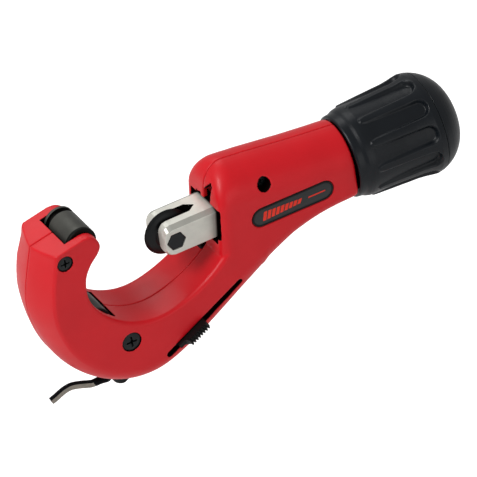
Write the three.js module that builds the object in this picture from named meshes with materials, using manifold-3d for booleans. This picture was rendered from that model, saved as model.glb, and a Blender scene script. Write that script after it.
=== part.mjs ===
// Tube cutter with an enclosed feed screw, a folding-out deburring blade and a spare wheel in the knob.
// Millimetres. +X runs along the feed screw towards the knob, +Z out of the open side of the hook,
// Y across the body.
import * as THREE from 'three';
import { mergeVertices } from 'three/addons/utils/BufferGeometryUtils.js';
import Module from 'manifold-3d';

const wasm = await Module();
wasm.setup();

// ---------- driving dimensions ----------
// All coordinates below are measured from the cutter wheel's centre, which lies on the feed axis.
// FRAME moves the finished assembly so that the origin is at mid length and mid height, on the parting plane.
const FRAME = { x: -28.59, y: 0, z: 14.65 };

const HALF = 13; // half thickness of the body
const FULLER = { share: 0.3, below: 15, over: 8 }; // below the tip the ridge falls away less on the far side
const RUN = 0.08; // radial running clearance
const SEAT = 0.03; // clearance of seated pins and screws
const PART = 0.02; // gap of each half shell to the parting plane

// hook: [inner x, inner z, outer x, outer z, inner edge radius, outer edge depth, crown]
// crown 1 gives the outside a shallow ridge along the seam, crown 0 a flat outside with rounded edges
const HOOK = [
  [-37.8, 21.2, -52.8, 18.0, 1.2, 3.9, 1],
  [-35.2, 21.0, -53.2, 16.6, 1.4, 4.0, 1],
  [-33.2, 19.7, -53.7, 14.7, 1.5, 4.2, 1],
  [-31.8, 17.4, -54.6, 11.5, 1.5, 4.5, 1],
  [-31.4, 15.2, -55.4, 8.4, 1.5, 4.7, 1],
  [-32.6, 13.0, -56.0, 5.9, 1.5, 4.8, 1],
  [-35.8, 9.6, -56.6, 3.2, 1.5, 4.9, 1],
  [-38.2, 5.2, -57.2, 0.0, 1.5, 5.0, 1],
  [-39.0, 0.4, -57.6, -4.6, 1.5, 5.0, 1],
  [-38.8, -4.0, -57.3, -9.4, 1.5, 4.9, 0.95],
  [-37.4, -8.4, -56.2, -14.8, 1.5, 4.8, 0.85],
  [-35.0, -12.3, -54.1, -21.4, 1.5, 5.0, 0.65],
  [-31.7, -16.0, -50.9, -28.6, 1.5, 5.6, 0.45],
  [-27.6, -19.4, -45.9, -35.3, 1.5, 6.3, 0.2],
  [-23.0, -22.0, -38.8, -41.6, 1.5, 7, 0],
  [-18.0, -23.7, -30.6, -46.3, 1.5, 7, 0],
  [-13.0, -24.2, -22.4, -48.4, 1.5, 7, 0],
  [-8.0, -23.6, -14.2, -48.1, 1.5, 7, 0],
  [-2.0, -21.8, -4.8, -44.9, 1.6, 7.3, 0],
  [4.5, -18.8, 6.0, -39.4, 1.8, 8, 0],
  [10.0, -15.3, 15.0, -34.6, 2, 9, 0],
  [14.0, -11.8, 21.0, -31.2, 2, 9.6, 0],
  [22.0, -4.0, 26.0, -28.2, 2, 10, 0],
  [30.0, 0.0, 30.0, -25.4, 2, 10, 0],
];

// handle: [x, top z, bottom z, half width, top radius, bottom radius]
const HANDLE = [
  [15.6, 10.8, -12.0, 10.4, 5, 2],
  [16.0, 14.2, -13.0, 11.6, 7, 2],
  [17.4, 17.2, -14.5, 12.6, 10, 2],
  [19.4, 19.2, -16.0, 13, 11.8, 3],
  [22.6, 20.5, -18.0, 13, 12.8, 5],
  [27.0, 20.3, -21.5, 13, 12.9, 8],
  [30.0, 19.9, -25.4, 13, 12.9, 10],
  [33.0, 19.6, -23.2, 13, 12.9, 9.8],
  [36.5, 19.1, -20.7, 13, 12.9, 8.8],
  [40.0, 18.6, -18.1, 13, 12.9, 7.4],
  [43.5, 18.1, -15.8, 13, 12.9, 6.2],
  [47.0, 17.6, -14.0, 13, 12.9, 5],
  [51.0, 17.0, -12.6, 13, 12.9, 4.4],
  [56.0, 16.4, -11.6, 13, 12.9, 4.3],
  [62.0, 15.7, -11.0, 13, 12.9, 4.3],
  [69.1, 14.9, -10.6, 13, 12.9, 4.3],
  [69.9, 14.2, -9.9, 12.4, 12.3, 3.8],
];
const LEAN = { slope: 0.09, about: 4, from: 15.6, over: 11 }; // the front of the handle leans back at the top
const NECK = [
  [68.0, 13.6, -9.4, 11.8, 11.6, 3.6],
  [71.6, 13.4, -9.2, 11.6, 11.4, 3.6],
];

// the groove near the far end takes the flare of a flared pipe
const ROLLER = { r: 5.9, half: 8.7, bore: 1.58, groove: 1.4, grooveFrom: 5.1, grooveTo: 7.4 };
const ROLLERS = [
  { name: 'tip_roller', pin: 'tip_roller_pin', x: -36.7, z: 16.8, pocket: 7.4 },
  { name: 'inner_roller_upper', pin: 'inner_pin_upper', x: -44.7, z: 6.5, pocket: 6.2 },
  { name: 'inner_roller_lower', pin: 'inner_pin_lower', x: -44.7, z: -6.5, pocket: 6.2 },
  { name: 'throat_roller', pin: 'throat_roller_pin', x: -35.8, z: -19.0, pocket: 7.4 },
];
const ROLLER_PIN = { r: 1.5, half: 11.2 };
const POCKET_HALF = 8.95; // half width of the roller pockets
const BACK_SLOT = { x0: -45, x1: -36, y: 2.6, z: 6.5 }; // joins the pockets of the two inner rollers

// side screws: head radius, head height, shank radius, outer face of the head, tip of the shank
const SCREWS = [
  { name: 'hook_screw', x: -46.0, z: 14.5, head: 2.9, tall: 2, shank: 1.5, face: -12.7, tip: 8 },
  { name: 'throat_screw', x: -25.4, z: -29.3, head: 3.6, tall: 2.4, shank: 2, face: -12.7, tip: 9 },
  { name: 'handle_screw', x: 34.5, z: 11.3, head: 2.45, tall: 2, shank: 1.5, face: -8.6, tip: 8 },
];

const SLIDE = {
  y: 7.5, z: 6.4, edgeY: 2, edgeZ: 1.2, front: -4.4, rear: 53,
  slot: 2.35, slotFlat: 8.6, slotEnd: 11.8, // the wheel slot tapers to a point at its inner end
};
const OPENING_TRAVEL = 4.5; // how far the carriage can still draw back
const GUIDE = { from: 12, to: 58.4 }; // the carriage's guide inside the body
// wider clearance just inside the handle, and a small hole at its foot
const MOUTH = { near: 11.4, nearLow: -4.8, y: 9.4, low: -7.2, high: 7.3, to: 20 };
const FOOT_HOLE = { x0: 12.1, x1: 15, y0: 0.2, y1: 2.8, z0: -13.4, z1: -8 };
// notches in the upper edge of the mouth: [y, z] outlines
const NEAR_NOTCH = [[-0.3, 6], [-0.3, 11.2], [-4.4, 15.6], [-5.8, 14.5], [-4.3, 6]];
const FAR_NOTCH = [[2.2, 6], [2.2, 8.7], [4.2, 8.0], [5.2, 8.6], [5.6, 6]];
const WHEEL = {
  r: 9.1, half: 2.2, hub: 4.9, bore: 2.58,
  rise: [[1.5, 5.4], [1.35, 6.8], [0.9, 8.1], [0.3, 8.85]], // [half thickness, radius] up to the edge
};
const WHEEL_PIN = { r: 2.5, hex: 3.6, hexDeep: 1.5, far: 7.1 };
const CLIP = { r: 3.6, groove: 2.0, y0: 5.7, y1: 6.4, recess: 4.0 };

const SCREW = { r: 4, tip: 15.5, collar: 8, collarAt: 61.9, collarWide: 3, spindle: 5, end: 90.5 };
const DRIVE = { from: 78, flat: 4 }; // two flats on the spindle turn the knob's bore
const KNOB_SCREW_HOLE = 2;
const CHAMBER = { r: 8.4, from: 60.5, to: 66.4 };
const WASHER = { r: 8, wide: 1, front: 60.75, rear: 65.05 };

const KNOB = { cap: 104.4, ribs: 11, flute: 1.25, turn: 12.6 };
const STORE = { r: 11.5, from: 93.6, wheelAt: 99.1 }; // spare wheel room inside the knob

// deburrer: its axis starts at the holder's nose and rises towards the knob
const DEBUR = {
  x: -28.5, z: -48.4, dx: 0.871, dz: 0.4913, half: 4, long: 40, travel: 18,
  channelFrom: -14,
  nose: [[-2.4, 1.9], [-2.0, 1.2], [-1.3, 0.6], [-0.6, 0.2], [0.2, 0]], // [along the axis, inset of sides]
};
const PAD = {
  from: 22.6, to: 35.4, low: -2.8, high: -1.2, out: -14.2,
  step: 26, grip: -15.3, tips: -16.1, under: -13.1, edge: -3.8, teeth: 8, // raised, toothed part
};
const PAD_FOOT = { from: 20, to: 39, outer: -5.7, inner: -4.1, half: 4, spare: 0.4 };
const BLADE_ROOM = { from: -24, to: 11.8, half: 2, deep: 13.6 }; // where the drawn-in blade lies
const BLADE = {
  r: 1.4, front: -3.6, shank: 14, neck: { r: 0.7, from: 7.6, to: 10.4 },
  // the hook's centre line in (x, z), from the front of the shank to the tip
  line: [
    [-31.37, -50.02], [-34.26, -49.59], [-36.91, -49.68], [-38.1, -49.43], [-41.96, -47.99], [-45.28, -47.1],
    [-47.75, -47.27], [-50.09, -48.06], [-51.83, -48.88], [-53.97, -49.64],
  ],
};

// name plate on the near side of the handle
const BADGE = { x: 44, z: -1.05, long: 32.8, tall: 7.5 };

// ---------- helpers ----------
const DEG = Math.PI / 180;

function solid(geometry) {
  const bare = geometry.clone();
  for (const name of Object.keys(bare.attributes)) {
    if (name !== 'position') bare.deleteAttribute(name);
  }
  const merged = mergeVertices(bare, 1e-4);
  return new wasm.Manifold(new wasm.Mesh({
    numProp: 3,
    vertProperties: new Float32Array(merged.attributes.position.array),
    triVerts: new Uint32Array(merged.index.array),
  }));
}

function toGeometry(manifold) {
  const mesh = manifold.getMesh();
  const geometry = new THREE.BufferGeometry();
  geometry.setAttribute('position', new THREE.BufferAttribute(mesh.vertProperties, 3));
  geometry.setIndex(new THREE.BufferAttribute(mesh.triVerts, 1));
  geometry.computeVertexNormals();
  return geometry;
}

const join = (first, ...others) => others.reduce((sum, other) => sum.add(other), first);
const cut = (first, ...others) => others.reduce((sum, other) => sum.subtract(other), first);

// box between two corners
function block(x0, x1, y0, y1, z0, z1) {
  const g = new THREE.BoxGeometry(x1 - x0, y1 - y0, z1 - z0);
  g.translate((x0 + x1) / 2, (y0 + y1) / 2, (z0 + z1) / 2);
  return solid(g);
}

// cylinder along Y through (x, z)
function rodY(x, z, r, y0, y1, sides = 20) {
  const g = new THREE.CylinderGeometry(r, r, y1 - y0, sides);
  g.translate(x, (y0 + y1) / 2, z);
  return solid(g);
}

// cylinder along X on the feed axis
function rodX(r, x0, x1, sides = 28) {
  const g = new THREE.CylinderGeometry(r, r, x1 - x0, sides);
  g.rotateZ(-Math.PI / 2);
  g.translate((x0 + x1) / 2, 0, 0);
  return solid(g);
}

// turned piece on the X axis from [x, r] pairs
function turnedX(pairs, sides = 28) {
  const g = new THREE.LatheGeometry(pairs.map(([x, r]) => new THREE.Vector2(r, x)), sides);
  g.rotateZ(-Math.PI / 2);
  return solid(g);
}

// turned piece about a Y line through (x, z), from [y, r] pairs
function turnedY(x, z, pairs, sides = 20) {
  const g = new THREE.LatheGeometry(pairs.map(([y, r]) => new THREE.Vector2(r, y)), sides);
  g.translate(x, 0, z);
  return solid(g);
}

// solid skin over a row of closed rings with equal point counts, capped at both ends
function skin(rings) {
  const count = rings[0].length;
  const points = rings.flat();
  const faces = [];
  for (let i = 0; i + 1 < rings.length; i += 1) {
    for (let j = 0; j < count; j += 1) {
      const a = i * count + j;
      const b = i * count + (j + 1) % count;
      faces.push(a, b, b + count, a, b + count, a + count);
    }
  }
  for (const [ring, flip] of [[0, true], [rings.length - 1, false]]) {
    const centre = new THREE.Vector3();
    for (const p of rings[ring]) centre.addScaledVector(p, 1 / count);
    points.push(centre);
    for (let j = 0; j < count; j += 1) {
      const a = ring * count + j;
      const b = ring * count + (j + 1) % count;
      faces.push(...(flip ? [b, a] : [a, b]), points.length - 1);
    }
  }
  const g = new THREE.BufferGeometry();
  g.setAttribute('position', new THREE.Float32BufferAttribute(points.flatMap((p) => p.toArray()), 3));
  g.setIndex(faces);
  const made = solid(g);
  return made.volume() > 0 ? made : solid(reversed(g));
}

function reversed(geometry) {
  const index = Array.from(geometry.index.array);
  for (let i = 0; i < index.length; i += 3) [index[i], index[i + 1]] = [index[i + 1], index[i]];
  geometry.setIndex(index);
  return geometry;
}

// section across the body, from the inner point to the outer point and half a width to each side
function section(ix, iz, ox, oz, half, innerR, outerR, crown = 0, steps = 4) {
  const span = Math.hypot(ox - ix, oz - iz);
  const along = (u, y) => new THREE.Vector3(ix + (ox - ix) * u / span, y, iz + (oz - iz) * u / span);
  const inner = [];
  const outer = [];
  for (let k = 0; k <= steps; k += 1) {
    const angle = 90 * (1 - k / steps) * DEG;
    inner.push([innerR - innerR * Math.cos(angle), half - innerR + innerR * Math.sin(angle)]);
    const roundDrop = outerR - outerR * Math.cos(angle);
    const roundY = half - outerR + outerR * Math.sin(angle);
    const ridgeY = k === 0 ? half : half - 0.7 - (half - 1.1) * (k - 1) / (steps - 1);
    const ridgeDrop = k === 0 ? outerR + 0.9 : outerR * (ridgeY / half) ** 1.4;
    outer.push([roundDrop + (ridgeDrop - roundDrop) * crown, roundY + (ridgeY - roundY) * crown]);
  }
  const farShare = 1 - FULLER.share * crown * THREE.MathUtils.clamp((FULLER.below - oz) / FULLER.over, 0, 1);
  return [
    ...[...inner].reverse().map(([u, y]) => along(u, y)),
    ...outer.map(([drop, y]) => along(span - drop * farShare, y)),
    ...[...outer].reverse().map(([drop, y]) => along(span - drop, -y)),
    ...inner.map(([u, y]) => along(u, -y)),
  ];
}

// local frame of the deburrer: s along its axis, y across, n normal to it
function deburPoint(s, y, n) {
  return new THREE.Vector3(DEBUR.x + s * DEBUR.dx - n * DEBUR.dz, y, DEBUR.z + s * DEBUR.dz + n * DEBUR.dx);
}

function deburBlock(s0, s1, y0, y1, n0, n1) {
  const corners = [[y0, n0], [y1, n0], [y1, n1], [y0, n1]];
  return skin([s0, s1].map((s) => corners.map(([y, n]) => deburPoint(s, y, n))));
}

// ---------- body ----------
function bodyBlank() {
  const hook = skin(HOOK.map(([ix, iz, ox, oz, ...edges]) => section(ix, iz, ox, oz, HALF, ...edges)));
  const lean = (x, z) => x + LEAN.slope * (z - LEAN.about) * Math.max(0, 1 - (x - LEAN.from) / LEAN.over);
  const upright = ([x, top, low, half, rt, rl]) => section(lean(x, top), top, lean(x, low), low, half, rt, rl);
  return join(hook, skin(HANDLE.map(upright)), skin(NECK.map(upright)));
}

// everything that both halves leave room for
function bodyRooms() {
  const rooms = [];
  for (const roller of ROLLERS) {
    const pinEnd = ROLLER_PIN.half + 0.1;
    rooms.push(rodY(roller.x, roller.z, roller.pocket, -POCKET_HALF, POCKET_HALF, 28));
    rooms.push(rodY(roller.x, roller.z, ROLLER_PIN.r + SEAT, -pinEnd, pinEnd));
  }
  const { x0, x1, y, z } = BACK_SLOT;
  rooms.push(block(x0, x1, -y, y, -z, z));
  const tall = SLIDE.z + RUN;
  const wide = SLIDE.y + RUN;
  rooms.push(block(GUIDE.from, GUIDE.to, -wide, wide, -tall, tall));
  rooms.push(block(GUIDE.from, MOUTH.to, -MOUTH.y, MOUTH.y, MOUTH.low, MOUTH.high));
  rooms.push(block(GUIDE.from, MOUTH.to, -MOUTH.near, 0, MOUTH.nearLow, MOUTH.high));
  const foot = FOOT_HOLE;
  rooms.push(block(foot.x0, foot.x1, foot.y0, foot.y1, foot.z0, foot.z1));
  for (const outline of [NEAR_NOTCH, FAR_NOTCH]) {
    rooms.push(skin([GUIDE.from, MOUTH.to].map((x) => outline.map(([y, z]) => new THREE.Vector3(x, y, z)))));
  }
  rooms.push(rodX(SCREW.r + 0.5, GUIDE.to - 1, CHAMBER.from + 1));
  rooms.push(rodX(CHAMBER.r, CHAMBER.from, CHAMBER.to));
  rooms.push(rodX(SCREW.spindle + RUN, CHAMBER.to - 1, NECK[1][0] + 1));
  const h = DEBUR.half + RUN;
  rooms.push(deburBlock(DEBUR.channelFrom, DEBUR.long + DEBUR.travel + 0.4, -h, h, -h, h));
  const { from, to, half, deep } = BLADE_ROOM;
  rooms.push(deburBlock(from, to, -half, half, 0, deep));
  return rooms;
}

// long window and inner track of the thumb slide, in the near half only
function padRooms() {
  const { from, to, outer, half, spare } = PAD_FOOT;
  const end = DEBUR.travel + spare;
  return [
    deburBlock(PAD.from - 5.5, PAD.to + end + 1, -HALF - 3, -DEBUR.half, PAD.low - 0.35, PAD.high + 0.35),
    deburBlock(from - spare, to + end + 0.2, outer - 0.2, -DEBUR.half, -half - 0.1, half + 0.1),
  ];
}

function badgeRoom() {
  return stadium(BADGE.long + 0.5, BADGE.tall + 0.5, -HALF - 1, -HALF + 1.1);
}

function stadium(long, tall, y0, y1) {
  const r = tall / 2;
  const flat = long / 2 - r;
  const shape = new THREE.Shape();
  shape.moveTo(-flat, -r);
  shape.lineTo(flat, -r);
  shape.absarc(flat, 0, r, -Math.PI / 2, Math.PI / 2, false);
  shape.lineTo(-flat, r);
  shape.absarc(-flat, 0, r, Math.PI / 2, Math.PI * 1.5, false);
  const g = new THREE.ExtrudeGeometry(shape, { depth: y1 - y0, bevelEnabled: false, curveSegments: 8 });
  g.rotateX(Math.PI / 2);
  g.translate(BADGE.x, y1, BADGE.z);
  return solid(g);
}

function bodyHalves() {
  const whole = cut(bodyBlank(), ...bodyRooms());
  let near = whole.subtract(block(-80, 130, -PART, 30, -80, 50));
  let far = whole.subtract(block(-80, 130, -30, PART, -80, 50));
  for (const s of SCREWS) {
    const headSeat = s.face + s.tall;
    near = cut(near, rodY(s.x, s.z, s.head + 0.1, -20, headSeat), rodY(s.x, s.z, s.shank + 0.1, -20, 1));
    far = far.subtract(rodY(s.x, s.z, s.shank + SEAT, -1, s.tip + 0.6));
  }
  near = cut(near, ...padRooms(), badgeRoom());
  return { near, far };
}

// ---------- rollers, pins, screws ----------
function roller({ x, z }) {
  const { r, half, bore, groove, grooveFrom, grooveTo } = ROLLER;
  return turnedY(x, z, [
    [-half, bore], [-half, r - 0.5], [-half + 0.5, r], [grooveFrom, r], [grooveFrom, r - groove],
    [grooveTo, r - groove], [grooveTo, r], [half - 0.3, r], [half, r - 0.3], [half, bore], [-half, bore],
  ]);
}

function rollerPin({ x, z }) {
  const { r, half } = ROLLER_PIN;
  return turnedY(x, z, [
    [-half, 0], [-half, r - 0.3], [-half + 0.3, r], [half - 0.3, r], [half, r - 0.3], [half, 0],
  ]);
}

function sideScrew({ x, z, head, tall, shank, face, tip }) {
  const seat = face + tall;
  const body = turnedY(x, z, [
    [face, 0], [face, head - 0.35], [face + 0.35, head], [seat - 0.05, head], [seat - 0.05, shank],
    [tip - 0.6, shank], [tip, shank - 0.5], [tip, 0],
  ]);
  const arm = head * 0.62;
  const wide = head * 0.13;
  const deep = face + tall * 0.7;
  return cut(
    body,
    block(x - arm, x + arm, face - 1, deep, z - wide, z + wide),
    block(x - wide, x + wide, face - 1, deep, z - arm, z + arm),
  );
}

// ---------- carriage ----------
function carriage() {
  const { y, z, edgeY, edgeZ, front, rear, slot, slotFlat, slotEnd } = SLIDE;
  const ring = (x, inset) => {
    const w = y - inset * 0.2;
    const t = z - inset;
    const corners = [[w, t - edgeZ], [w - edgeY, t], [edgeY - w, t], [-w, t - edgeZ]];
    const lower = corners.map(([a, b]) => [-a, -b]);
    return [...corners, ...lower].map(([a, b]) => new THREE.Vector3(x, a, b));
  };
  const nose = [[0, 3.4], [0.25, 2.2], [0.9, 1.1], [1.8, 0.4], [3.2, 0]];
  const bar = skin([...nose.map(([dx, inset]) => ring(front + dx, inset)), ring(rear, 0)]);
  const wedge = new THREE.Shape([[-20, -slot], [slotFlat, -slot], [slotEnd, 0], [slotFlat, slot], [-20, slot]]
    .map(([a, b]) => new THREE.Vector2(a, b)));
  const gap = solid(new THREE.ExtrudeGeometry(wedge, { depth: 40, bevelEnabled: false }).translate(0, 0, -20));
  return cut(
    bar,
    gap,
    rodX(SCREW.r + RUN, SCREW.tip - OPENING_TRAVEL - 0.6, rear + 2),
    rodY(0, 0, WHEEL_PIN.r + SEAT, -20, 20),
    hexagon(WHEEL_PIN.hex + 0.1, -y - 1, -y + WHEEL_PIN.hexDeep + 0.1),
    rodY(0, 0, CLIP.recess, CLIP.y0 - 0.3, y + 1),
  );
}

// hexagon about the wheel axis with two corners along X
function hexagon(corner, y0, y1) {
  const g = new THREE.CylinderGeometry(corner, corner, y1 - y0, 6);
  g.rotateY(Math.PI / 2);
  g.translate(0, (y0 + y1) / 2, 0);
  return solid(g);
}

// closed outline of a cutting wheel across its thickness, as [along the axis, radius]
function wheelProfile() {
  const { r, half, hub, bore, rise } = WHEEL;
  const side = [[half, hub], ...rise];
  return [
    [-half, bore], ...side.map(([a, at]) => [-a, at]),
    [0, r], ...[...side].reverse(),
    [half, bore], [-half, bore],
  ];
}

function wheelPin() {
  const { r, hex, hexDeep, far } = WHEEL_PIN;
  const face = -SLIDE.y + 0.02;
  const shaft = turnedY(0, 0, [
    [-7, 0], [-7, r], [CLIP.y0, r], [CLIP.y0, CLIP.groove], [CLIP.y1, CLIP.groove], [CLIP.y1, r],
    [far - 0.3, r], [far, r - 0.3], [far, 0],
  ]);
  return join(hexagon(hex, face, -SLIDE.y + hexDeep), shaft);
}

// open retaining clip in the pin's groove
function wheelClip() {
  const y0 = CLIP.y0 + 0.05;
  const y1 = CLIP.y1 - 0.05;
  const ring = turnedY(0, 0, [
    [y0, CLIP.groove + SEAT], [y0, CLIP.r], [y1, CLIP.r], [y1, CLIP.groove + SEAT], [y0, CLIP.groove + SEAT],
  ]);
  return ring.subtract(block(-8, 0, y0 - 1, y1 + 1, -1.3, 1.3));
}

// ---------- feed ----------
function feedScrew() {
  const { r, tip, collar, collarAt, collarWide, spindle, end } = SCREW;
  const body = turnedX([
    [tip, 0], [tip, r - 0.7], [tip + 0.7, r],
    [collarAt, r], [collarAt, collar], [collarAt + collarWide, collar], [collarAt + collarWide, spindle],
    [end, spindle], [end, 0],
  ]);
  return cut(body, ...outsideFlats(DRIVE.flat, end + 1), rodX(KNOB_SCREW_HOLE, 82, end + 1, 20));
}

// the two blocks beyond the driving flats
function outsideFlats(flat, end) {
  return [block(DRIVE.from, end, -9, 9, flat, 9), block(DRIVE.from, end, -9, 9, -9, -flat)];
}

function washer(x) {
  const hole = x < SCREW.collarAt ? SCREW.r + 0.1 : SCREW.spindle + 0.1;
  const rear = x + WASHER.wide;
  return turnedX([[x, hole], [x, WASHER.r], [rear, WASHER.r], [rear, hole], [x, hole]]);
}

// ---------- knob ----------
// outer radius of the knob along the feed axis
const KNOB_SHAPE = [
  [70.4, 14.95], [70.9, 15.45], [73.2, 15.75], [75.6, 16.95], [77.0, 17.25], [79.5, 17.55],
  [90.0, 17.85], [96.0, 18.05], [99.0, 18.55], [101.5, 19.0], [104.4, 18.6],
];

function knobBody() {
  const per = 6;
  const count = KNOB.ribs * per;
  const dip = [0, 0.5, 1, 1, 1, 0.5];
  const depth = (x) => (x < 77.2 || x > 101.8 ? 0 : Math.min(1, (x - 76.5) / 2, (102.4 - x) / 2));
  const rings = KNOB_SHAPE.map(([x, r]) => Array.from({ length: count }, (_, i) => {
    const angle = 2 * Math.PI * i / count + KNOB.turn * DEG;
    const radius = r - KNOB.flute * dip[i % per] * depth(x);
    return new THREE.Vector3(x, radius * Math.cos(angle), radius * Math.sin(angle));
  }));
  const bore = rodX(SCREW.spindle + SEAT, KNOB_SHAPE[0][0] - 2, SCREW.end + 0.1);
  const drive = cut(bore, ...outsideFlats(DRIVE.flat + SEAT, SCREW.end + 1));
  return cut(
    skin(rings),
    rodX(14.3, KNOB_SHAPE[0][0] - 2, NECK[1][0] + 0.5),
    drive,
    rodX(KNOB_SCREW_HOLE + 0.3, SCREW.end - 1, STORE.from + 1, 20),
    rodX(STORE.r, STORE.from, KNOB.cap + 1),
  );
}

function knobScrew() {
  const seat = STORE.from + 0.05;
  return turnedX([
    [85, 0], [85, 1.7], [85.3, 1.95], [seat, 1.95],
    [seat, 3.6], [seat + 1.45, 3.6], [seat + 1.85, 3.1], [seat + 1.85, 0],
  ], 20);
}

function knobCap() {
  const seat = KNOB.cap + 0.05;
  const spigot = STORE.r - 0.1;
  return turnedX([
    [97.2, 0], [97.2, 2.5], [101.4, 2.5], [101.4, spigot], [seat, spigot], [seat, 18.55],
    [105.3, 18.3], [107.5, 17.25], [109.7, 15.75], [112.0, 13.3], [113.7, 10.0], [114.5, 5.6], [114.75, 0],
  ], 30);
}

function spareWheel() {
  return turnedX(wheelProfile().map(([a, r]) => [STORE.wheelAt + a, r]), 30);
}

// ---------- deburrer ----------
function deburrerHolder() {
  const { half, nose, long } = DEBUR;
  const bar = skin([...nose, [long, 0]].map(([s, inset]) => [[-1, -1], [1, -1], [1, 1], [-1, 1]]
    .map(([a, b]) => deburPoint(s, a * (half - inset), b * (half - inset)))));
  return cut(bar, deburRod(BLADE.front, BLADE.shank + 0.4, BLADE.r + RUN), retainerRod(0.75 + SEAT, 3.4));
}

// round bar on the deburrer's axis
function deburRod(s0, s1, r, sides = 16) {
  const ring = (s) => Array.from({ length: sides }, (_, i) => {
    const angle = 2 * Math.PI * i / sides;
    return deburPoint(s, r * Math.cos(angle), r * Math.sin(angle));
  });
  return skin([ring(s0), ring(s1)]);
}

// cross pin beside the blade's shank, in its neck
function retainerRod(r, half, sides = 12) {
  const ring = (y) => Array.from({ length: sides }, (_, i) => {
    const angle = 2 * Math.PI * i / sides;
    return deburPoint(9 + r * Math.cos(angle), y, 1.55 + r * Math.sin(angle));
  });
  return skin([ring(-half), ring(half)]);
}

function thumbSlide() {
  const { from, to, low, high, out, step, grip, tips, under, edge, teeth } = PAD;
  const foot = PAD_FOOT;
  const pitch = (to - step) / teeth;
  const ridges = Array.from({ length: teeth }, (_, i) => {
    const s = step + pitch * i;
    return deburBlock(s + 0.2, s + pitch - 0.2, tips, grip + 0.5, edge, high);
  });
  return join(
    deburBlock(foot.from, foot.to, foot.outer, foot.inner, -foot.half, foot.half),
    deburBlock(from, to, out, -4.6, low, high),
    deburBlock(step, to, grip, under, edge, high),
    ...ridges,
  );
}

function deburringBlade() {
  const { r, front, shank, neck, line } = BLADE;
  const path = new THREE.CatmullRomCurve3(line.map(([x, z]) => new THREE.Vector3(x, 0, z)));
  const round = new THREE.Shape().absarc(0, 0, r, 0, 2 * Math.PI, false);
  const hook = solid(new THREE.ExtrudeGeometry(round, {
    extrudePath: path, steps: 20, bevelEnabled: false, curveSegments: 6,
  }));
  const waist = cut(deburRod(neck.from, neck.to, 5), deburRod(neck.from - 1, neck.to + 1, neck.r));
  return join(hook, deburRod(front, shank, r)).subtract(waist);
}

// ---------- assembly ----------
function paint(color, roughness, metalness) {
  return new THREE.MeshStandardMaterial({ color, roughness, metalness });
}

const RED = paint(0xd0202c, 0.38, 0.0);
const BLACK = paint(0x262a2e, 0.5, 0.0);
const DARK_STEEL = paint(0x4c4d4b, 0.35, 0.9);
const PLATED = paint(0xc8c8c0, 0.32, 0.9);
const STEEL = paint(0x9a9a98, 0.35, 0.9);

const assembly = new THREE.Group();
assembly.position.set(FRAME.x, FRAME.y, FRAME.z);

function add(name, shape, material) {
  const mesh = new THREE.Mesh(toGeometry(shape), material);
  mesh.name = name;
  assembly.add(mesh);
}

const { near, far } = bodyHalves();
add('near_body_shell', near, RED);
add('far_body_shell', far, RED);
for (const item of ROLLERS) {
  add(item.name, roller(item), DARK_STEEL);
  add(item.pin, rollerPin(item), STEEL);
}
for (const item of SCREWS) add(item.name, sideScrew(item), DARK_STEEL);
add('carriage', carriage(), PLATED);
add('cutter_wheel', turnedY(0, 0, wheelProfile(), 30), DARK_STEEL);
add('wheel_pin', wheelPin(), DARK_STEEL);
add('wheel_clip', wheelClip(), STEEL);
add('feed_screw', feedScrew(), STEEL);
add('front_thrust_washer', washer(WASHER.front), STEEL);
add('rear_thrust_washer', washer(WASHER.rear), STEEL);
add('knob_body', knobBody(), BLACK);
add('knob_screw', knobScrew(), STEEL);
add('knob_cap', knobCap(), BLACK);
add('spare_wheel', spareWheel(), DARK_STEEL);
add('badge', stadium(BADGE.long, BADGE.tall, -HALF + 0.25, -HALF + 1.05), BLACK);
add('deburrer_holder', deburrerHolder(), BLACK);
add('thumb_slide', thumbSlide(), BLACK);
add('blade_retaining_pin', retainerRod(0.75, 3.3), STEEL);
add('deburring_blade', deburringBlade(), STEEL);

export default assembly;
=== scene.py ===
import math

import bmesh
import bpy
import numpy as np
from mathutils import Matrix, Vector


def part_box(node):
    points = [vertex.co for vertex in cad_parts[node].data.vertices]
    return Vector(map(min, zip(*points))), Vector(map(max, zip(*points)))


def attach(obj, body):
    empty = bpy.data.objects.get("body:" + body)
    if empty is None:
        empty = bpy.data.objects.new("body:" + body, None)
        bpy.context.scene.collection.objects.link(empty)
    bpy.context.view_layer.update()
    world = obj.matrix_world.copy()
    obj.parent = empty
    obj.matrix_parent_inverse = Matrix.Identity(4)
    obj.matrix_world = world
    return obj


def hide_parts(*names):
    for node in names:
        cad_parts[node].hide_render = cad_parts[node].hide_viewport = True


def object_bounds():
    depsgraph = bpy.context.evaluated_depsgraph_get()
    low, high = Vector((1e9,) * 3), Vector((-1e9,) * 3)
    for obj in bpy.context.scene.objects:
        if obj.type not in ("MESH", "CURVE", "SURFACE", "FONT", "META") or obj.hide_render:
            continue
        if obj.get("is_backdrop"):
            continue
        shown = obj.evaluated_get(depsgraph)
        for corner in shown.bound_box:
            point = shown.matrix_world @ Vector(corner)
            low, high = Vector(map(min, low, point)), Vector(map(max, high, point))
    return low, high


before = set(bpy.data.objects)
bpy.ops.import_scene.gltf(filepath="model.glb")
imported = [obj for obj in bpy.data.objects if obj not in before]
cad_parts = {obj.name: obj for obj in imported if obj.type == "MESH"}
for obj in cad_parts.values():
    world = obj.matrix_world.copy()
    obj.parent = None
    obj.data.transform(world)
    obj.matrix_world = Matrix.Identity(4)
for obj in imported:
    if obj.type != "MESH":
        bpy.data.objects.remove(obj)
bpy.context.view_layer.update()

MM = 0.001
DEG = math.pi / 180


def middle(node):
    low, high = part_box(node)
    return (np.array(low) + np.array(high)) / 2


# Everything is modelled in millimetres from the cutter wheel's centre, which lies on the feed axis.
# x runs towards the knob, y towards the far side and z up.
WHEEL_AT = middle("cutter_wheel")


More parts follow.
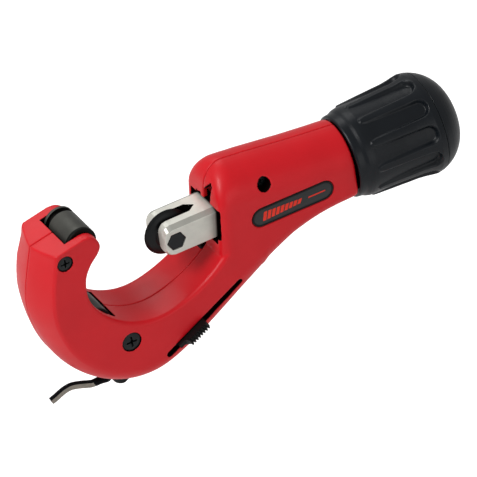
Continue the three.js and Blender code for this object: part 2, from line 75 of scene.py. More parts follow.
def local_box(node):
    low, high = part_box(node)
    return (np.array(low) - WHEEL_AT) / MM, (np.array(high) - WHEEL_AT) / MM


# ---------------------------------------------------------------- mesh helpers
def make(name, verts, faces):
    mesh = bpy.data.meshes.new(name)
    mesh.from_pydata([tuple(map(float, v)) for v in verts], [], [tuple(map(int, f)) for f in faces])
    mesh.validate()
    mesh.update()
    obj = bpy.data.objects.new(name, mesh)
    bpy.context.scene.collection.objects.link(obj)
    bm = bmesh.new()
    bm.from_mesh(mesh)
    bmesh.ops.recalc_face_normals(bm, faces=bm.faces)
    if bm.calc_volume(signed=True) < 0:
        bmesh.ops.reverse_faces(bm, faces=bm.faces)
    bm.to_mesh(mesh)
    bm.free()
    return obj


def drop(obj):
    mesh = obj.data
    bpy.data.objects.remove(obj)
    bpy.data.meshes.remove(mesh)


def bake(obj):
    """Applies the modifiers."""
    graph = bpy.context.evaluated_depsgraph_get()
    graph.update()
    baked = bpy.data.meshes.new_from_object(obj.evaluated_get(graph), depsgraph=graph)
    old = obj.data
    obj.modifiers.clear()
    obj.data = baked
    bpy.data.meshes.remove(old)


def boolean(obj, others, operation="DIFFERENCE"):
    for other in others:
        mod = obj.modifiers.new("b", "BOOLEAN")
        mod.operation = operation
        mod.solver = "MANIFOLD"
        mod.object = other
        bake(obj)
        drop(other)
    return obj


def copy(obj, name):
    made = obj.copy()
    made.data = obj.data.copy()
    made.name = name
    bpy.context.scene.collection.objects.link(made)
    return made


def remesh(obj, size, smooth=2):
    mod = obj.modifiers.new("r", "REMESH")
    mod.mode = "VOXEL"
    mod.voxel_size = size
    mod.use_smooth_shade = True
    mod = obj.modifiers.new("s", "SMOOTH")
    mod.factor = 0.5
    mod.iterations = smooth
    bake(obj)


def soften(obj, angle=30):
    for poly in obj.data.polygons:
        poly.use_smooth = True
    if angle < 180:
        bm = bmesh.new()
        bm.from_mesh(obj.data)
        limit = angle * DEG
        for edge in bm.edges:
            if len(edge.link_faces) == 2 and edge.calc_face_angle(0) > limit:
                edge.smooth = False
        bm.to_mesh(obj.data)
        bm.free()


def to_frame(obj):
    """From millimetres about the wheel to the frame's metres."""
    obj.data.transform(Matrix.Translation(Vector(WHEEL_AT)) @ Matrix.Scale(MM, 4))
    obj.data.update()


def loft(name, rings):
    """Skin through rings of equal length, with both ends closed."""
    count = len(rings[0])
    verts = [p for ring in rings for p in ring]
    faces = []
    for i in range(len(rings) - 1):
        for j in range(count):
            a, b = i * count + j, i * count + (j + 1) % count
            faces.append((a, b, b + count, a + count))
    for ring, turn in ((0, -1), (len(rings) - 1, 1)):
        ids = [ring * count + j for j in range(count)]
        centre = np.mean([verts[k] for k in ids], axis=0)
        verts.append(centre)
        for j in range(count):
            faces.append((ids[j], ids[(j + 1) % count], len(verts) - 1)[::turn])
    return make(name, verts, faces)


def fillet(points, radius, steps=4, closed=False):
    """Rounds the corners of a 2D outline. radius is one number or one per point."""
    points = [np.array(p, float) for p in points]
    radii = radius if hasattr(radius, "__len__") else [radius] * len(points)
    out = []
    n = len(points)
    for i, p in enumerate(points):
        r = radii[i]
        if r <= 0 or (not closed and i in (0, n - 1)):
            out.append(p)
            continue
        a, b = points[i - 1] - p, points[(i + 1) % n] - p
        la, lb = np.linalg.norm(a), np.linalg.norm(b)
        a, b = a / la, b / lb
        turn = math.acos(max(-1.0, min(1.0, float(a @ b))))
        if turn > math.pi - 0.02:
            out.append(p)
            continue
        cut = min(r / math.tan(turn / 2), la * 0.49, lb * 0.49)
        r = cut * math.tan(turn / 2)
        centre = p + (a + b) / np.linalg.norm(a + b) * (r / math.sin(turn / 2))
        start, end = p + a * cut - centre, p + b * cut - centre
        angle = math.atan2(start[0] * end[1] - start[1] * end[0], float(start @ end))
        for k in range(steps + 1):
            t = angle * k / steps
            c, s = math.cos(t), math.sin(t)
            out.append(centre + np.array([start[0] * c - start[1] * s, start[0] * s + start[1] * c]))
    return out


def turned(name, profile, axis="x", at=(0, 0, 0), count=96, closed=False):
    """Solid of revolution from (along, radius) pairs, about a line through at."""
    at = np.array(at, float)

    def ring(a, r):
        if r < 1e-6:
            return [at + (np.array([a, 0, 0]) if axis == "x" else np.array([0, a, 0]))]
        out = []
        for k in range(count):
            t = 2 * math.pi * k / count
            c, s = r * math.cos(t), r * math.sin(t)
            out.append(at + (np.array([a, c, s]) if axis == "x" else np.array([s, a, c])))
        return out

    verts, starts = [], []
    for a, r in profile:
        starts.append((len(verts), r >= 1e-6))
        verts += ring(a, r)
    faces = []
    pairs = list(zip(starts, starts[1:])) + ([(starts[-1], starts[0])] if closed else [])
    for (a, full_a), (b, full_b) in pairs:
        for k in range(count):
            m = (k + 1) % count
            if full_a and full_b:
                faces.append((a + k, a + m, b + m, b + k))
            elif full_a:
                faces.append((a + k, a + m, b))
            elif full_b:
                faces.append((a, b + m, b + k))
    return make(name, verts, faces)


def prism(name, outline, y0, y1, bevel=0.0, steps=2):
    """Outline in (x, z) drawn out along Y."""
    n = len(outline)
    verts = [(x, y0, z) for x, z in outline] + [(x, y1, z) for x, z in outline]
    faces = [tuple(range(n)), tuple(range(2 * n - 1, n - 1, -1))]
    faces += [(i, (i + 1) % n, n + (i + 1) % n, n + i) for i in range(n)]
    obj = make(name, verts, faces)
    if bevel:
        round_edges(obj, bevel, steps)
    return obj


def round_edges(obj, width, steps=2, angle=30):
    mod = obj.modifiers.new("v", "BEVEL")
    mod.width = width
    mod.segments = steps
    mod.limit_method = "ANGLE"
    mod.angle_limit = angle * DEG
    mod.use_clamp_overlap = True
    bake(obj)


def box(name, x0, x1, y0, y1, z0, z1):
    return prism(name, [(x0, z0), (x1, z0), (x1, z1), (x0, z1)], y0, y1)


def rod_y(x, z, r, y0, y1, count=64):
    return turned("rod", [(y0, 0), (y0, r), (y1, r), (y1, 0)], "y", (x, 0, z), count)


def rod_x(r, x0, x1, count=64):
    return turned("rod", [(x0, 0), (x0, r), (x1, r), (x1, 0)], "x", (0, 0, 0), count)


def spline_rows(rows, per):
    """Catmull-Rom through rows of numbers, spaced by the size of the steps."""
    rows = np.array(rows, float)
    t = np.r_[0, np.cumsum(np.linalg.norm(np.diff(rows[:, :4], axis=0), axis=1) ** 0.5)]
    out = []
    for i in range(len(rows) - 1):
        p1, p2 = rows[i], rows[i + 1]
        t1, t2 = t[i], t[i + 1]
        m1 = (p2 - rows[i - 1]) / (t2 - t[i - 1]) if i else (p2 - p1) / (t2 - t1)
        m2 = (rows[i + 2] - p1) / (t[i + 2] - t1) if i + 2 < len(rows) else (p2 - p1) / (t2 - t1)
        d = t2 - t1
        for k in range(per):
            u = k / per
            out.append((2 * u**3 - 3 * u**2 + 1) * p1 + (u**3 - 2 * u**2 + u) * d * m1
                       + (3 * u**2 - 2 * u**3) * p2 + (u**3 - u**2) * d * m2)
    out.append(rows[-1])
    return out


RIDGE_EDGE = 0.9  # radius at the side edges of the ridge
FULLER = {"share": 0.3, "below": 15, "over": 8}  # how the far side's ridge fills out below this height


def section(ix, iz, ox, oz, half, inner, outer, crown=0.0, steps=14):
    """Ring round the body, from the inner to the outer point of its side outline, half wide to each side.

    inner and outer are the radii of the edges. crown 1 gives the outside a shallow ridge along the seam,
    and crown 0 a flat outside. Below the tip, the ridge slopes less steeply on the far side.
    """
    start, end = np.array([ix, 0, iz]), np.array([ox, 0, oz])
    span = np.linalg.norm(end - start)
    way = (end - start) / span
    first, last = [], []
    for k in range(steps + 1):
        a = 90 * (1 - k / steps) * DEG
        first.append((inner - inner * math.cos(a), half - inner + inner * math.sin(a)))
        drop, y = outer - outer * math.cos(a), half - outer + outer * math.sin(a)
        if k < 3:
            turn = 30 * k * DEG
            ridge_y = half - RIDGE_EDGE * (1 - math.cos(turn))
            ridge_drop = outer + RIDGE_EDGE * (1 - math.sin(turn))
        else:
            ridge_y = (half - RIDGE_EDGE) * (1 - (k - 3) / (steps - 3)) + 0.15
            ridge_drop = outer * (ridge_y / half) ** 1.4
        last.append((drop + (ridge_drop - drop) * crown, y + (ridge_y - y) * crown))
    far = 1 - FULLER["share"] * crown * min(1.0, max(0.0, (FULLER["below"] - oz) / FULLER["over"]))
    points = [(u, y) for u, y in reversed(first)] + [(span - u * far, y) for u, y in last]
    points += [(span - u, -y) for u, y in reversed(last)] + [(u, -y) for u, y in first]
    return [start + way * u + np.array([0, y, 0]) for u, y in points]


def darken(obj, amount):
    """Stores how dark each face is, from 0 to 1; amount takes the centres and normals as (x, y, z) rows."""
    mesh = obj.data
    count = len(mesh.polygons)
    centres, normals = np.empty(count * 3, np.float32), np.empty(count * 3, np.float32)
    mesh.polygons.foreach_get("center", centres)
    mesh.polygons.foreach_get("normal", normals)
    values = amount(centres.reshape(-1, 3).T, normals.reshape(-1, 3).T)
    attribute = mesh.attributes.new("dark", "FLOAT", "FACE")
    attribute.data.foreach_set("value", np.asarray(values, np.float32))


# ---------------------------------------------------------------- materials
def nodes_of(name):
    mat = bpy.data.materials.new(name)
    mat.use_nodes = True
    tree = mat.node_tree
    tree.nodes.clear()
    out = tree.nodes.new("ShaderNodeOutputMaterial")
    bsdf = tree.nodes.new("ShaderNodeBsdfPrincipled")
    tree.links.new(bsdf.outputs[0], out.inputs[0])
    return mat, tree, bsdf


def noise(tree, scale, detail=3.0, rough=0.5, stretch=None):
    coords = tree.nodes.new("ShaderNodeTexCoord")
    mapping = tree.nodes.new("ShaderNodeMapping")
    mapping.inputs["Scale"].default_value = stretch or (1, 1, 1)
    tex = tree.nodes.new("ShaderNodeTexNoise")
    tex.inputs["Scale"].default_value = scale
    tex.inputs["Detail"].default_value = detail
    tex.inputs["Roughness"].default_value = rough
    tree.links.new(coords.outputs["Object"], mapping.inputs[0])
    tree.links.new(mapping.outputs[0], tex.inputs["Vector"])
    return tex.outputs["Fac"]


def ramp(tree, source, low, high, start=0.3, end=0.7):
    node = tree.nodes.new("ShaderNodeMapRange")
    node.inputs["From Min"].default_value = start
    node.inputs["From Max"].default_value = end
    node.inputs["To Min"].default_value = low
    node.inputs["To Max"].default_value = high
    tree.links.new(source, node.inputs["Value"])
    return node.outputs[0]


def blend_colour(tree, factor, first, second):
    node = tree.nodes.new("ShaderNodeMix")
    node.data_type = "RGBA"
    for socket, value in ((node.inputs["A"], first), (node.inputs["B"], second)):
        if isinstance(value, tuple):
            socket.default_value = (*value, 1)
        else:
            tree.links.new(value, socket)
    tree.links.new(factor, node.inputs["Factor"])
    return node.outputs["Result"]


def edge_mask(tree, radius, start=0.02, end=0.2):
    """Where the surface turns sharply within radius millimetres."""
    bevel = tree.nodes.new("ShaderNodeBevel")
    bevel.samples = 4
    bevel.inputs["Radius"].default_value = radius * MM
    geometry = tree.nodes.new("ShaderNodeNewGeometry")
    dot = tree.nodes.new("ShaderNodeVectorMath")
    dot.operation = "DOT_PRODUCT"
    tree.links.new(bevel.outputs[0], dot.inputs[0])
    tree.links.new(geometry.outputs["Normal"], dot.inputs[1])
    invert = tree.nodes.new("ShaderNodeMath")
    invert.operation = "SUBTRACT"
    invert.inputs[0].default_value = 1
    tree.links.new(dot.outputs["Value"], invert.inputs[1])
    return ramp(tree, invert.outputs[0], 0, 1, start, end)


def multiply(tree, a, b):
    node = tree.nodes.new("ShaderNodeMath")
    node.operation = "MULTIPLY"
    for socket, value in zip(node.inputs, (a, b)):
        if isinstance(value, (int, float)):
            socket.default_value = value
        else:
            tree.links.new(value, socket)
    return node.outputs[0]


def bump(tree, bsdf, height, distance, bevel):
    node = tree.nodes.new("ShaderNodeBump")
    node.inputs["Strength"].default_value = 1.0
    node.inputs["Distance"].default_value = distance * MM
    tree.links.new(height, node.inputs["Height"])
    if bevel:
        soft = tree.nodes.new("ShaderNodeBevel")
        soft.samples = 6
        soft.inputs["Radius"].default_value = bevel * MM
        tree.links.new(soft.outputs[0], node.inputs["Normal"])
    tree.links.new(node.outputs[0], bsdf.inputs["Normal"])


def surface(name, colour, second, metal, rough, rough_span, grain=900, grain_depth=0.01, stretch=None,
            edge=None, edge_radius=0.4, edge_amount=0.5, coat=0.0, bevel=0.0, specular=0.5, blotch=60,
            dark=None):
    """A material with two blotchy tones, fine grain, lighter edges (rubbed wear, and on the red paint and the
    knob also a painted highlight) and, where darken() says so, a dark tone (painted shade on the body,
    rollers and carriage; on the blade, all but its ground face).

    grain and blotch are noise scales; grain_depth, edge_radius and bevel are in millimetres.
    """
    mat, tree, bsdf = nodes_of(name)
    wide = noise(tree, blotch, 4, 0.6)
    tint = blend_colour(tree, ramp(tree, wide, 0, 1), colour, second)
    # Lighter colour on sharp edges: rubbed wear, and on the red paint and the knob also a painted highlight
    # standing in for glints.
    if edge:
        patches = ramp(tree, noise(tree, 400, 4), 0, edge_amount, 0.35, 0.65)
        edge_wear_and_highlight = multiply(tree, edge_mask(tree, edge_radius), patches)
        tint = blend_colour(tree, edge_wear_and_highlight, tint, edge)
    bsdf.inputs["Specular IOR Level"].default_value = specular
    # The dark tone, with the specular turned down, is painted shade where darken() marks the body, rollers
    # and carriage; on the blade it darkens all but the ground face.
    if dark:
        reader = tree.nodes.new("ShaderNodeAttribute")
        reader.attribute_name = "dark"
        tint = blend_colour(tree, reader.outputs["Fac"], tint, dark)
        level = ramp(tree, reader.outputs["Fac"], specular, 0.05, 0, 1)
        tree.links.new(level, bsdf.inputs["Specular IOR Level"])
    tree.links.new(tint, bsdf.inputs["Base Color"])
    fine = noise(tree, grain, 3, 0.55, stretch)
    uneven = ramp(tree, noise(tree, blotch * 3, 3), rough - rough_span, rough + rough_span)
    tree.links.new(uneven, bsdf.inputs["Roughness"])
    bsdf.inputs["Metallic"].default_value = metal
    if coat:
        bsdf.inputs["Coat Weight"].default_value = coat
        bsdf.inputs["Coat Roughness"].default_value = 0.12
    bump(tree, bsdf, fine, grain_depth, bevel)
    return mat


# Red body paint. edge is a pinker red on sharp edges, partly rubbed paint and partly a painted highlight;
# dark is painted shade for the insides of the body's openings.
RED = surface("red_paint", (0.70, 0.0065, 0.014), (0.645, 0.0055, 0.012), 0.0, 0.40, 0.03, grain=1500,
              grain_depth=0.006, edge=(0.74, 0.04, 0.05), edge_radius=0.6, edge_amount=0.4, coat=0.06,
              specular=0.28, dark=(0.006, 0.001, 0.001))
# Knob plastic. The little blue in its base colours is partly the plastic's tone and partly a painted bluish
# reflection; edge is a painted highlight on rib tips, recess ends and the cap's seam.
KNOB = surface("knob_plastic", (0.0026, 0.0044, 0.0068), (0.0042, 0.0066, 0.0098), 0.0, 0.34, 0.05,
               grain=2600, grain_depth=0.02, edge=(0.045, 0.053, 0.057), edge_radius=0.45, edge_amount=0.8,
               specular=0.29)
BLACK_PLASTIC = surface("black_plastic", (0.003, 0.0034, 0.0038), (0.005, 0.0054, 0.0058), 0.0, 0.5, 0.06,
                        grain=2000, grain_depth=0.02, edge=(0.02, 0.02, 0.02), specular=0.2)
# Roller steel; dark is the painted shade set in build_rollers().
ROLLER_STEEL = surface("roller_steel", (0.100, 0.100, 0.088), (0.070, 0.070, 0.062), 0.7, 0.48, 0.06,
                       grain=420, grain_depth=0.03, edge=(0.18, 0.18, 0.17), edge_radius=0.25,
                       edge_amount=0.4, dark=(0.002, 0.002, 0.002))
BLACK_STEEL = surface("black_steel", (0.0025, 0.003, 0.0035), (0.005, 0.0055, 0.006), 0.0, 0.36, 0.06,
                      grain=1500, grain_depth=0.01, edge=(0.04, 0.04, 0.045), edge_radius=0.2,
                      edge_amount=0.4, bevel=0.12, specular=0.24)
SCREW_BLACK = surface("screw_black", (0.008, 0.010, 0.011), (0.014, 0.017, 0.018), 0.3, 0.36, 0.06,
                      grain=1500, grain_depth=0.01, edge=(0.10, 0.11, 0.11), edge_radius=0.25,
                      edge_amount=0.6, bevel=0.1, specular=0.3)


LEAN = 0.09  # how much the front of the handle leans back, per unit of height


def shade_inside_body(mat):
    """Painted shade: darkens what lies deeper than the mouth of the handle, which leans back at the top, for
    the shadow inside the body.
    """
    tree = mat.node_tree
    bsdf = next(n for n in tree.nodes if n.type == "BSDF_PRINCIPLED")
    geometry = tree.nodes.new("ShaderNodeNewGeometry")
    depth = tree.nodes.new("ShaderNodeVectorMath")
    depth.operation = "DOT_PRODUCT"
    depth.inputs[1].default_value = (1, 0, -LEAN)
    tree.links.new(geometry.outputs["Position"], depth.inputs[0])
    edge = WHEEL_AT[0] - LEAN * WHEEL_AT[2] + 15.75 * MM
    mask = ramp(tree, depth.outputs["Value"], 0, 1, edge - 0.3 * MM, edge + 0.5 * MM)
    tint = bsdf.inputs["Base Color"].links[0].from_socket
    tree.links.new(blend_colour(tree, mask, tint, (0.004, 0.003, 0.003)), bsdf.inputs["Base Color"])
    level = bsdf.inputs["Specular IOR Level"].links[0].from_socket
    lit = tree.nodes.new("ShaderNodeMath")
    lit.operation = "SUBTRACT"
    lit.use_clamp = True
    tree.links.new(level, lit.inputs[0])
    tree.links.new(mask, lit.inputs[1])
    tree.links.new(lit.outputs[0], bsdf.inputs["Specular IOR Level"])


# Carriage plating. dark is painted shade in the wheel's slot and a painted darker reflection on the chamfers;
# shade_inside_body() adds painted shade where the carriage runs inside the body.
PLATED = surface("satin_plate", (0.73, 0.73, 0.655), (0.62, 0.62, 0.56), 0.35, 0.38, 0.06, grain=1200,
                 grain_depth=0.02, edge=(0.78, 0.78, 0.73), edge_radius=0.3, edge_amount=0.5, blotch=140,
                 dark=(0.003, 0.003, 0.003))
STEEL = surface("steel", (0.5, 0.5, 0.48), (0.42, 0.42, 0.4), 1.0, 0.3, 0.05, grain=900, grain_depth=0.01,
                stretch=(1, 8, 8), edge=(0.8, 0.8, 0.78))
BLADE_STEEL = surface("blade_steel", (0.32, 0.30, 0.25), (0.24, 0.225, 0.19), 0.5, 0.42, 0.06, grain=1500,
                      grain_depth=0.03, stretch=(8, 1, 1), blotch=400, dark=(0.004, 0.004, 0.005))
BADGE = surface("badge_black", (0.022, 0.024, 0.025), (0.030, 0.032, 0.033), 0.0, 0.4, 0.04, grain=2200,
                grain_depth=0.008, edge=(0.06, 0.06, 0.06), edge_radius=0.2, specular=0.3)
PRINT = surface("badge_red", (0.90, 0.045, 0.02), (0.82, 0.035, 0.018), 0.0, 0.45, 0.03, grain=2200,
                grain_depth=0.004, specular=0.2)
shade_inside_body(PLATED)


def finish_piece(obj, material, body, *nodes, slot, angle=30, smooth=True):
    """Puts the piece in the frame, on its body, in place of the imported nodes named."""
    to_frame(obj)
    if smooth:
        soften(obj, angle)
    obj.data.materials.clear()
    obj.data.materials.append(material)
    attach(obj, body)
    if nodes:
        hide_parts(*nodes)


# ---------------------------------------------------------------- body shells
HALF = 13.0
# rows of inner x, z and outer x, z of the side outline, radii of the inner and outer edges, and crown
HOOK = [
    (-37.8, 21.2, -52.8, 18.0, 1.2, 3.9, 1), (-35.2, 21.0, -53.2, 16.6, 1.4, 4.0, 1),
    (-33.2, 19.7, -53.7, 14.7, 1.5, 4.2, 1), (-31.8, 17.4, -54.6, 11.5, 1.5, 4.5, 1),
    (-31.4, 15.2, -55.4, 8.4, 1.5, 4.7, 1), (-32.6, 13.0, -56.0, 5.9, 1.5, 4.8, 1),
    (-35.8, 9.6, -56.6, 3.2, 1.5, 4.9, 1), (-38.2, 5.2, -57.2, 0.0, 1.5, 5.0, 1),
    (-39.0, 0.4, -57.6, -4.6, 1.5, 5.0, 1), (-38.8, -4.0, -57.3, -9.4, 1.5, 4.9, 0.95),
    (-37.4, -8.4, -56.2, -14.8, 1.5, 4.8, 0.85), (-35.0, -12.3, -54.1, -21.4, 1.5, 5.0, 0.65),
    (-31.7, -16.0, -50.9, -28.6, 1.5, 5.6, 0.45), (-27.6, -19.4, -45.9, -35.3, 1.5, 6.3, 0.2),
    (-23.0, -22.0, -38.8, -41.6, 1.5, 7, 0), (-18.0, -23.7, -30.6, -46.3, 1.5, 7, 0),
    (-13.0, -24.2, -22.4, -48.4, 1.5, 7, 0), (-8.0, -23.6, -14.2, -48.1, 1.5, 7, 0),
    (-2.0, -21.8, -4.8, -44.9, 1.6, 7.3, 0), (4.5, -18.8, 6.0, -39.4, 1.8, 8, 0),
    (10.0, -15.3, 15.0, -34.6, 2, 9, 0), (14.0, -11.8, 21.0, -31.2, 2, 9.6, 0),
    (22.0, -4.0, 26.0, -28.2, 2, 10, 0), (30.0, 0.0, 30.0, -25.4, 2, 10, 0),
]
# rows of x, top z, bottom z, half width, and radii of the top and bottom edges
GRIP = [
    (15.6, 10.8, -12.0, 10.4, 5, 2), (16.0, 14.2, -13.0, 11.6, 7, 2),
    (17.4, 17.2, -14.5, 12.6, 10, 2), (19.4, 19.2, -16.0, 13, 11.8, 3),
    (22.6, 20.5, -18.0, 13, 12.8, 5), (27.0, 20.3, -21.5, 13, 12.9, 8),
    (30.0, 19.9, -25.4, 13, 12.9, 10), (33.0, 19.6, -23.2, 13, 12.9, 9.8),
    (36.5, 19.1, -20.7, 13, 12.9, 8.8), (40.0, 18.6, -18.1, 13, 12.9, 7.4),
    (43.5, 18.1, -15.8, 13, 12.9, 6.2), (47.0, 17.6, -14.0, 13, 12.9, 5),
    (51.0, 17.0, -12.6, 13, 12.9, 4.4), (56.0, 16.4, -11.6, 13, 12.9, 4.3),
    (62.0, 15.7, -11.0, 13, 12.9, 4.3), (69.1, 14.9, -10.6, 13, 12.9, 4.3),
    (69.9, 14.2, -9.9, 12.4, 12.3, 3.8),
]
# the neck that the knob turns on, in the same order
NECK = [(68.0, 13.6, -9.4, 11.8, 11.6, 3.6), (71.6, 13.4, -9.2, 11.6, 11.4, 3.6)]
SEAM_GAP = 0.03  # each shell stops this far from the parting plane
SHELL_VOXEL = 0.32

# Rooms inside the body: boxes as x0, x1, y0, y1, z0, z1, notches as outlines in (y, z), and bores as
# radius, x0, x1.
POCKETS = {"tip_roller": 7.4, "inner_roller_upper": 6.2, "inner_roller_lower": 6.2, "throat_roller": 7.4}
POCKET_HALF = 8.95
BACK_SLOT = (-45, -36, -2.6, 2.6, -6.5, 6.5)  # joins the pockets of the two inner rollers
GUIDE = (12, 58.4, -7.58, 7.58, -6.48, 6.48)  # the carriage runs in it
MOUTH = (12, 20, -9.4, 9.4, -7.2, 7.3)
MOUTH_NEAR = (12, 20, -11.4, 0, -4.8, 7.3)
MOUTH_TOP = (17.9, 20, -6.5, 6.5, 6, 10.5)
FOOT_HOLE = (12.1, 15, 0.2, 2.8, -13.4, -8)
NEAR_NOTCH = ((-0.3, 6), (-0.3, 11.2), (-4.4, 15.6), (-5.8, 14.5), (-4.3, 6))
FAR_NOTCH = ((2.2, 6), (2.2, 8.7), (4.2, 8.0), (5.2, 8.6), (5.6, 6))
SPINDLE_BORE = (5.08, 55, 75)
COLLAR_CHAMBER = (8.4, 60.5, 66.4)
# the same along the deburrer's line, as s0, s1, y0, y1, n0, n1
DEBURRER_CHANNEL = (-14, 58.4, -4.08, 4.08, -4.08, 4.08)
BLADE_ROOM = (-24, 11.8, -2.0, 2.0, 0, 13.6)
PAD_SLOT = (17.1, 54.8, -16, -4, -3.15, -0.85)
PAD_FOOT_ROOM = (19.6, 57.6, -5.9, -4, -4.1, 4.1)
BADGE_AT = (44, -1.05)  # x, z of its middle

# the deburrer's line: s along it from the holder's nose, y across, n normal to it
NOSE = np.array([-28.5, 0, -48.4])
ALONG = np.array([0.871, 0, 0.4913])
NORMAL = np.array([-0.4913, 0, 0.871])


def deb(s, y, n):
    return NOSE + ALONG * s + NORMAL * n + np.array([0, y, 0])


def deb_box(name, s0, s1, y0, y1, n0, n1):
    rings = [[deb(s, y0, n0), deb(s, y1, n0), deb(s, y1, n1), deb(s, y0, n1)] for s in (s0, s1)]
    return loft(name, rings)


def deb_slot(name, s0, s1, y0, y1, n0, n1, steps=8):
    """Round-ended bar along the deburrer's line, drawn out along Y."""
    r, mid = (n1 - n0) / 2, (n0 + n1) / 2
    outline = []
    for centre, first in ((s1 - r, -90), (s0 + r, 90)):
        for k in range(steps + 1):
            a = (first + 180 * k / steps) * DEG
            outline.append((centre + r * math.cos(a), mid + r * math.sin(a)))
    return loft(name, [[deb(s, y, n) for s, n in outline] for y in (y0, y1)])


def stadium_outline(x, z, long, tall, steps=16):
    r = tall / 2
    out = []
    for cx, first in ((x + long / 2 - r, -90), (x - long / 2 + r, 90)):
        for k in range(steps + 1):
            a = (first + 180 * k / steps) * DEG
            out.append((cx + r * math.cos(a), z + r * math.sin(a)))
    return out


def roller_spots():
    for node, pocket in POCKETS.items():
        low, high = local_box(node)
        yield node, (low[0] + high[0]) / 2, (low[2] + high[2]) / 2, pocket


def line_coordinates(x, z):
    """Along the deburrer's line, and square to it."""
    dx, dz = x - NOSE[0], z - NOSE[2]
    return dx * ALONG[0] + dz * ALONG[2], dx * NORMAL[0] + dz * NORMAL[2]


def lean(x, z):
    """x moved as the front of the handle leans; the lean fades out towards the knob."""
    return x + LEAN * (z - 4) * max(0.0, 1 - (x - 15.6) / 11)


def body_blank():
    hook = loft("hook", [section(*row[:4], HALF, *row[4:]) for row in spline_rows(HOOK, 6)])
    rings = []
    for x, top, bottom, half, top_edge, low_edge in spline_rows(GRIP, 5):
        # a hair wider than the hook, so that the two sides never coincide
        rings.append(section(lean(x, top), top, lean(x, bottom), bottom, half + 0.004, top_edge, low_edge))
    grip = loft("grip", rings)
    neck = loft("neck", [section(x, t, x, b, h, rt, rb) for x, t, b, h, rt, rb in NECK])
    return boolean(hook, [grip, neck], "UNION")


def cut_rooms(body):
    cutters = []
    for _, x, z, pocket in roller_spots():
        cutters.append(rod_y(x, z, pocket, -POCKET_HALF, POCKET_HALF, 96))
    for room in (BACK_SLOT, GUIDE, MOUTH, MOUTH_NEAR, FOOT_HOLE):
        cutters.append(box("c", *room))
    for outline in (NEAR_NOTCH, FAR_NOTCH):
        cutters.append(loft("c", [[np.array([x, y, z]) for y, z in outline] for x in MOUTH[:2]]))
    cutters.append(box("c", *MOUTH_TOP))
    cutters.append(rod_x(*SPINDLE_BORE))
    cutters.append(rod_x(*COLLAR_CHAMBER))
    cutters.append(deb_box("c", *DEBURRER_CHANNEL))
    cutters.append(deb_box("c", *BLADE_ROOM))
    return boolean(body, cutters)


def screw_spots():
    for node in ("hook_screw", "throat_screw", "handle_screw"):
        low, high = local_box(node)
        yield node, (low[0] + high[0]) / 2, (low[2] + high[2]) / 2, (high[0] - low[0]) / 2, low[1], high[1]


def within(at, x0, x1, y0, y1, z0, z1):
    x, y, z = at
    return (x > x0) & (x < x1) & (y > y0) & (y < y1) & (z > z0) & (z < z1)


def unlit_inside(at, normal):
    """Painted shade: faces inside the body's openings, found with boxes slightly larger than the rooms, are
    marked for the dark tone that stands in for the shadow in them.
    """
    x, y, z = at
    s, n = line_coordinates(x, z)
    along = (s, y, n)
    inwards = normal[0] > -0.6
    under_near_skin = (y > -12.8) & (normal[1] > -0.6)
    inside = within(at, 12, math.inf, -11.6, 9.6, -7.4, 7.5) & inwards
    inside |= within(at, 15.5, 20.2, -6.1, 0.0, 5.9, 15.8) & inwards
    inside |= within(at, 15.2, 20.2, 2.0, 5.8, 5.9, 8.9) & inwards
    inside |= within(at, 12, 15.15, 0.05, 2.95, -13.6, -8)
    for _, rx, rz, pocket in roller_spots():
        inside |= (np.hypot(x - rx, z - rz) < pocket + 0.15) & (np.abs(y) < 9.1)
    for _, sx, sz, r, _, _ in screw_spots():
        inside |= (np.hypot(x - sx, z - sz) < r + 0.3) & under_near_skin
    inside |= within(along, 16.9, 55, -12.8, -3.9, -3.4, -0.6) & under_near_skin
    inside |= within(along, -14, math.inf, -4.25, 4.25, -4.25, 4.25)
    inside |= within(along, -24, 11.9, -2.15, 2.15, 0, 13.7) & (np.abs(y) > 0.5)
    inside |= x > 70.05
    return inside * 1.0


def build_body():
    near = cut_rooms(body_blank())
    near.name = "near_shell"
    far = copy(near, "far_shell")
    boolean(near, [box("c", -90, 140, -SEAM_GAP, 40, -90, 60)])
    boolean(far, [box("c", -90, 140, -40, SEAM_GAP, -90, 60)])
    cutters = []
    for _, x, z, r, face, _ in screw_spots():
        cutters.append(rod_y(x, z, r + 0.12, -20, face + 2.2))
    cutters.append(deb_slot("c", *PAD_SLOT))
    cutters.append(deb_box("c", *PAD_FOOT_ROOM))
    cutters.append(prism("c", stadium_outline(*BADGE_AT, 33.3, 8.0), -14, -11.9))
    boolean(near, cutters)
    for shell, node in ((near, "near_body_shell"), (far, "far_body_shell")):
        remesh(shell, SHELL_VOXEL)
        darken(shell, unlit_inside)
        finish_piece(shell, RED, "body", node, slot="body_paint", angle=180)


build_body()


# ---------------------------------------------------------------- rollers
def build_rollers():
    for node, x, z, _ in roller_spots():
        low, high = local_box(node)
        r, half = (high[0] - low[0]) / 2, (high[1] - low[1]) / 2
        bore, groove = 1.58, r - 1.4
        profile = [(-half, bore), (-half, r), (-7.3, r), (-7.0, r), (5.1, r), (5.1, groove), (7.4, groove),
                   (7.4, r), (half, r), (half, bore)]
        radii = [0.1, 0.45, 0, 0, 0.12, 0.1, 0.1, 0.12, 0.35, 0.1]
        roller = turned(node + "_turned", fillet(profile, radii, 3, True), "y", (x, 0, z), 96, True)
        # Painted shade: the throat roller is darkened all over, and each roller's near end and groove made
        # almost black, for the shadow in the pockets and the groove.
        throat_roller_shade = 0.35 if node == "throat_roller" else 0.0

        def shade(at, normal):
            near_end = at[1] < -7.2
            in_groove = (at[1] > 5.0) & (at[1] < 7.41)
            return np.where(near_end | in_groove, 0.9, throat_roller_shade)

        darken(roller, shade)
        finish_piece(roller, ROLLER_STEEL, node, node, slot="dark_steel")


build_rollers()


